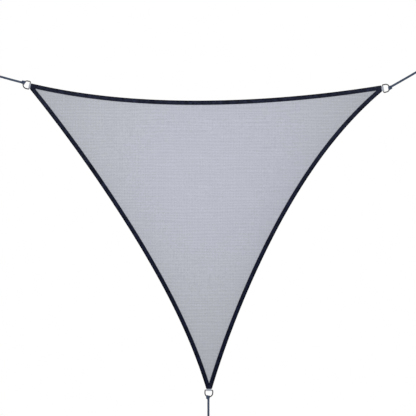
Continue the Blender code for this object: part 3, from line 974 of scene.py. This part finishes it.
class Shader:
    """A material's nodes, with a short way to add and join them."""

    def __init__(self, name, roughness, metallic=0.0, specular=0.5):
        self.material = bpy.data.materials.new(name)
        self.material.use_nodes = True
        self.nodes = self.material.node_tree.nodes
        self.links = self.material.node_tree.links
        self.surface = self.nodes["Principled BSDF"]
        self.surface.inputs["Roughness"].default_value = roughness
        self.surface.inputs["Metallic"].default_value = metallic
        self.surface.inputs["Specular IOR Level"].default_value = specular
        self.place = self.add("ShaderNodeTexCoord").outputs["Object"]

    def add(self, kind, settings=None, **inputs):
        node = self.nodes.new(kind)
        for key, value in (settings or {}).items():
            setattr(node, key, value)
        for key, value in inputs.items():
            self.set(node.inputs[key.replace("_", " ")], value)
        return node

    def set(self, socket, value):
        if isinstance(value, bpy.types.NodeSocket):
            self.links.new(value, socket)
        else:
            socket.default_value = value

    def math(self, operation, a, b=0.0, c=0.0):
        node = self.nodes.new("ShaderNodeMath")
        node.operation = operation
        for socket, value in zip(node.inputs, (a, b, c)):
            self.set(socket, value)
        return node.outputs[0]

    def scaled(self, value, factor, base=0.0):
        """A value times a factor, on top of a base."""
        return self.math("MULTIPLY_ADD", value, factor, base)

    def axis(self, name):
        """One of the object's coordinates, in metres."""
        return self.add("ShaderNodeSeparateXYZ", Vector=self.place).outputs[name]

    def measure(self, name):
        return self.add("ShaderNodeAttribute", {"attribute_name": name}).outputs["Fac"]

    def away_from(self, point):
        """How far the place is from a point, in metres."""
        node = self.add("ShaderNodeVectorMath", {"operation": "DISTANCE"}, Vector=self.place)
        node.inputs[1].default_value = point
        return node.outputs["Value"]

    def wave(self, distance, pitch, phase=0.0):
        """A soft wave from -1 to 1 along a distance."""
        return self.math("SINE", self.scaled(distance, 2 * math.pi / pitch, phase))

    def noise(self, size, detail=2.0, seed=0.0, stretch=(1, 1, 1)):
        """Noise from 0 to 1 whose spots are about that size, in metres."""
        scale = tuple(1 / (size * k) for k in stretch)
        moved = self.add("ShaderNodeMapping", Vector=self.place, Scale=scale, Location=[seed] * 3)
        noise = self.add("ShaderNodeTexNoise", Vector=moved.outputs[0], Scale=1.0, Detail=detail)
        return noise.outputs["Fac"]

    def mottled(self, size, contrast, base=0.0, **settings):
        """Noise with that contrast, on top of a base."""
        return self.scaled(self.noise(size, **settings), contrast, base)

    def ranged(self, value, source, target=(0.0, 1.0), kind="LINEAR"):
        """A value's place in the source range, moved to the target range and kept inside it."""
        ends = dict(zip(("From_Min", "From_Max", "To_Min", "To_Max"), (*source, *target)))
        node = self.add("ShaderNodeMapRange", {"interpolation_type": kind}, Value=value, **ends)
        return node.outputs[0]

    def brightness(self, base, factor):
        """The base colour times a factor that varies over the surface."""
        node = self.add("ShaderNodeVectorMath", {"operation": "SCALE"}, Scale=factor)
        self.set(node.inputs[0], base)
        return node.outputs[0]

    def blend(self, share, first, second):
        node = self.nodes.new("ShaderNodeMix")
        node.data_type = "RGBA"
        self.set(node.inputs[0], share)
        for socket, value in ((node.inputs[6], first), (node.inputs[7], second)):
            self.set(socket, value if isinstance(value, bpy.types.NodeSocket) else (*value, 1))
        return node.outputs[2]

    def finish(self, color, height=None, depth=0.0, roughness=None):
        self.set(self.surface.inputs["Base Color"], color)
        if height is not None:
            bump = self.add("ShaderNodeBump", Strength=1.0, Distance=depth, Height=height)
            self.set(self.surface.inputs["Normal"], bump.outputs[0])
        if roughness is not None:
            self.set(self.surface.inputs["Roughness"], roughness)
        return self.material


CLOTH_COLOR = (0.49, 0.5030, 0.578)
CLOTH_COLOR_GREEN = (0.49, 0.508, 0.557)
BLUEST_PLACE = (1.36, 0.0, -0.56)  # of the cloth, which is greener towards its edges
HUE_REACH = (0.20, 0.85)  # the distances from there between which it changes
HUE_SHARES = (-0.6, 0.4)  # of the greener colour, at these distances
BAND_PITCH = 17.6 * MM  # of the uneven rows and columns that show from far away
BAND_DRIFT = 40 * MM
COLUMN_PITCH = 14.8 * MM
COLUMN_DRIFT = 30 * MM
COURSE_PITCH = 2.93 * MM
WALE_PITCH = 2.7 * MM
LEG_SLOPE = 1.3  # of the two legs of each small loop
STRAND_SHARE = 0.8  # how high the legs stand, beside the rows of loops
KNIT_DRIFT = 8 * MM  # how far the rows and columns of loops wander
KNIT_PAINTED_SHADE = 0.09  # painted highlight and shade: how much paler the loops are painted on top, and darker between them
KNIT_DEPTH = 0.16 * MM


def knitted():
    """Knitted tape: columns of small loops with two legs each, and denser rows at intervals, with
    painted shade between the loops.
    """
    shader = Shader("knitted_cloth", roughness=0.75, specular=0.25)
    x, z = shader.axis("X"), shader.axis("Z")
    row_drift = shader.noise(50 * MM, detail=3.0, stretch=(8, 1, 1))
    wale_drift = shader.noise(70 * MM, detail=3.0, seed=5.0, stretch=(1, 1, 9))
    bands = shader.wave(shader.scaled(row_drift, BAND_DRIFT, z), BAND_PITCH)
    columns = shader.wave(shader.scaled(wale_drift, COLUMN_DRIFT, x), COLUMN_PITCH)
    band_shade = shader.mottled(90 * MM, contrast=0.088, seed=3.0, stretch=(2.5, 1, 0.6))
    column_shade = shader.mottled(70 * MM, contrast=0.040, seed=7.0, stretch=(0.6, 1, 2.5))
    broad = shader.mottled(50 * MM, contrast=0.07, base=0.853, detail=3.0, seed=23.0)
    tone = shader.mottled(7 * MM, contrast=0.40, base=broad, seed=11.0)
    tone = shader.scaled(bands, band_shade, tone)
    tone = shader.scaled(columns, column_shade, tone)
    # painted shade along the cloth's edges, from its tone measure
    tone = shader.scaled(tone, shader.measure("tone"))
    hue = shader.ranged(shader.away_from(BLUEST_PLACE), HUE_REACH, HUE_SHARES, "SMOOTHSTEP")
    greener = shader.mottled(40 * MM, contrast=1.2, base=hue, seed=19.0)
    color = shader.blend(greener, CLOTH_COLOR, CLOTH_COLOR_GREEN)
    wale_place = shader.scaled(wale_drift, KNIT_DRIFT, x)
    course_place = shader.scaled(row_drift, KNIT_DRIFT, z)
    legs = shader.math("PINGPONG", wale_place, WALE_PITCH / 2)
    courses = shader.wave(shader.scaled(legs, LEG_SLOPE, course_place), COURSE_PITCH)
    strands = shader.wave(wale_place, WALE_PITCH / 2, -math.pi / 2)
    knit = shader.scaled(strands, STRAND_SHARE, courses)
    # painted highlight on the loops' tops and painted shade between them
    tone = shader.scaled(tone, shader.scaled(knit, KNIT_PAINTED_SHADE, 1.0))
    return shader.finish(shader.brightness(color, tone), knit, KNIT_DEPTH)


BINDING_COLOR = (0.0047, 0.0068, 0.0195)
# the binding's colour where the painted light from above is strongest
PAINTED_LIGHT_BINDING = (0.0130, 0.0155, 0.0304)
PAINTED_LIGHT_HEIGHTS = (-1.8, -0.08)  # painted light from above: the heights of the darkest and the palest painted parts of the binding
PAINTED_LIGHT_POWER = 2.2
FOLD_SHADE = (0.1, 1.0)  # painted shade: how bright the binding is painted at its fold, and past the reach of that
FOLD_REACH = (0.0, 7 * MM)
RIB_PITCH = 1.9 * MM
LINE_PITCH = 1.1 * MM
LINE_SHARE = 0.35
WEAVE_SHADE = 0.16
WEAVE_DEPTH = 0.12 * MM
LEAST_WORN = 0.4


def bound_edge():
    """Dark woven webbing with fine ribs across it, worn in patches, with painted shade at its fold.

    It is painted paler towards the top of the sail, as painted light from above.
    """
    shader = Shader("binding_webbing", roughness=0.85, specular=0.06)
    along, across = shader.measure("along"), shader.measure("across")
    weave = shader.scaled(shader.wave(across, LINE_PITCH), LINE_SHARE, shader.wave(along, RIB_PITCH))
    # painted shade, darkest at the binding's fold
    fold = shader.ranged(across, FOLD_REACH, FOLD_SHADE)
    broad = shader.mottled(35 * MM, contrast=2.0, base=-1.16, seed=9.0)
    worn = shader.mottled(12 * MM, contrast=2.5, base=broad, detail=3.0, seed=5.0)
    worn = shader.math("MAXIMUM", worn, LEAST_WORN)
    # painted light: the binding is painted paler towards the top
    painted_top_light = shader.math("POWER", shader.ranged(shader.axis("Z"), PAINTED_LIGHT_HEIGHTS), PAINTED_LIGHT_POWER)
    color = shader.blend(painted_top_light, BINDING_COLOR, PAINTED_LIGHT_BINDING)
    tone = shader.scaled(shader.scaled(fold, worn), shader.scaled(weave, WEAVE_SHADE, 1.0))
    return shader.finish(shader.brightness(color, tone), weave, WEAVE_DEPTH)


LOOP_COLOR = (0.50, 0.53, 0.60)
LOOP_RIB_PITCH = 1.6 * MM
LOOP_CORD_PITCH = 2.2 * MM
LOOP_CORD_SHARE = 0.8
LOOP_SHADE = 0.04
LOOP_DEPTH = 0.09 * MM


def pale_web():
    """Pale grey webbing with ribs across it and lengthwise cords."""
    shader = Shader("pale_webbing", roughness=0.75, specular=0.25)
    along, across = shader.measure("along"), shader.measure("across")
    cords = shader.wave(across, LOOP_CORD_PITCH)
    weave = shader.scaled(cords, LOOP_CORD_SHARE, shader.wave(along, LOOP_RIB_PITCH))
    grime = shader.mottled(7 * MM, contrast=0.25, base=0.86)
    tone = shader.scaled(weave, LOOP_SHADE, grime)
    return shader.finish(shader.brightness(LOOP_COLOR, tone), weave, LOOP_DEPTH)


SEAM_COLOR = (0.030, 0.032, 0.055)
BOX_COLOR = (0.035, 0.037, 0.060)


def thread(name, color):
    """Sewing thread, a little uneven in tone from stitch to stitch."""
    shader = Shader(name, roughness=0.6, specular=0.3)
    tone = shader.mottled(3 * MM, contrast=0.5, base=0.75)
    return shader.finish(shader.brightness(color, tone))


RING_COLOR = (0.10, 0.10, 0.10)
LEAST_SHINE = 0.3  # of the darkest tarnish and painted dark reflection, as a share of that colour
MARK_DEPTH = 0.02 * MM


def ring_steel():
    """Bent wire with the fine marks of its drawing and bending, tarnished in patches that also paint
    dark reflections on it.
    """
    shader = Shader("ring_steel", roughness=0.3, metallic=1.0)
    marks = shader.noise(1.2 * MM, detail=4.0)
    # tarnish patches, which also stand in for painted dark reflections on the wire
    tarnish_and_reflection = shader.mottled(15 * MM, contrast=3.2, base=-0.55, seed=1.0)
    tone = shader.math("MAXIMUM", tarnish_and_reflection, LEAST_SHINE)
    rough = shader.mottled(9 * MM, contrast=0.2, base=0.22, seed=2.0)
    return shader.finish(shader.brightness(RING_COLOR, tone), marks, MARK_DEPTH, rough)


ROPE_COLOR = (0.050, 0.069, 0.111)
# painted shade: how much darker the rope is painted where its strands dip
RELIEF_PAINTED_SHADE = 0.9
FIBRE_SHADE = 0.4
FIBRE_DEPTH = 0.05 * MM


def braided():
    """Dark braided cord, painted paler on top of its strands and darker, as painted shade, where
    they dip.
    """
    shader = Shader("braided_rope", roughness=0.75, specular=0.2)
    fibres = shader.noise(0.7 * MM, detail=3.0)
    dust = shader.mottled(18 * MM, contrast=0.6, base=0.15, seed=4.0)
    # painted shade in the braid's dips, paler on the strands' tops
    tone = shader.scaled(shader.measure("relief"), RELIEF_PAINTED_SHADE, dust)
    tone = shader.scaled(fibres, FIBRE_SHADE, tone)
    return shader.finish(shader.brightness(ROPE_COLOR, tone), fibres, FIBRE_DEPTH)


FLOOR_COLOR = (0.78, 0.78, 0.78)


def floor_paint():
    shader = Shader("floor", roughness=0.6, specular=0.3)
    tone = shader.mottled(300 * MM, contrast=0.02, base=0.99)
    return shader.finish(shader.brightness(FLOOR_COLOR, tone))


def dress(pieces, made):
    for piece in pieces:
        piece.data.materials.clear()
        piece.data.materials.append(made)


dress([cloth], knitted())
dress(bindings, bound_edge())
dress(seams, thread("seam_thread", SEAM_COLOR))
dress(loops, pale_web())
dress(boxes, thread("box_thread", BOX_COLOR))
dress(rings, ring_steel())
dress(ropes, braided())

# ---- floor, background and light ----

FLOOR_HEIGHT = -2.45
FLOOR_RADIUS = 2.1
FLOOR_SIDES = 96
SURROUNDING_LIGHT = 0.585
# Each lamp's place, the point that it faces, its width and height, and its power in watts.
SOFTBOXES = {
    "key": ((1.20, -2.25, -0.42), (1.20, 0, -0.5), (0.9, 0.6), 22),
    "fill_back": ((1.8, 4.2, 0.8), (1.25, 0, -0.7), (2.5, 2.0), 80),
}


def make_floor():
    middle = Vector((VIEW_MIDDLE[0], 0, FLOOR_HEIGHT))
    rim = []
    for k in range(FLOOR_SIDES):
        a = 2 * math.pi * k / FLOOR_SIDES
        rim.append(middle + Vector((math.cos(a), math.sin(a), 0)) * FLOOR_RADIUS)
    mesh = bpy.data.meshes.new("floor")
    mesh.from_pydata(rim, [], [list(range(FLOOR_SIDES))])
    floor = bpy.data.objects.new("floor", mesh)
    bpy.context.collection.objects.link(floor)
    dress([floor], floor_paint())


def make_background():
    """White where it is seen, and a dimmer light from all round."""
    world = bpy.data.worlds.new("studio")
    world.use_nodes = True
    nodes, links = world.node_tree.nodes, world.node_tree.links
    seen = nodes["Background"]
    seen.inputs["Color"].default_value = (1, 1, 1, 1)
    light = nodes.new("ShaderNodeBackground")
    light.inputs["Color"].default_value = (1, 1, 1, 1)
    light.inputs["Strength"].default_value = SURROUNDING_LIGHT
    path = nodes.new("ShaderNodeLightPath")
    mix = nodes.new("ShaderNodeMixShader")
    links.new(path.outputs["Is Camera Ray"], mix.inputs[0])
    links.new(light.outputs[0], mix.inputs[1])
    links.new(seen.outputs[0], mix.inputs[2])
    links.new(mix.outputs[0], nodes["World Output"].inputs["Surface"])
    bpy.context.scene.world = world


def add_softbox(name, place, target, size, power):
    data = bpy.data.lights.new(name, "AREA")
    data.shape = "RECTANGLE"
    data.size, data.size_y = size
    data.energy = power
    lamp = bpy.data.objects.new(name, data)
    lamp.location = place
    lamp.rotation_euler = (Vector(target) - Vector(place)).to_track_quat("-Z", "Y").to_euler()
    lamp.visible_camera = False
    bpy.context.collection.objects.link(lamp)


make_floor()
make_background()
for name, (place, target, size, power) in SOFTBOXES.items():
    add_softbox(name, place, target, size, power)
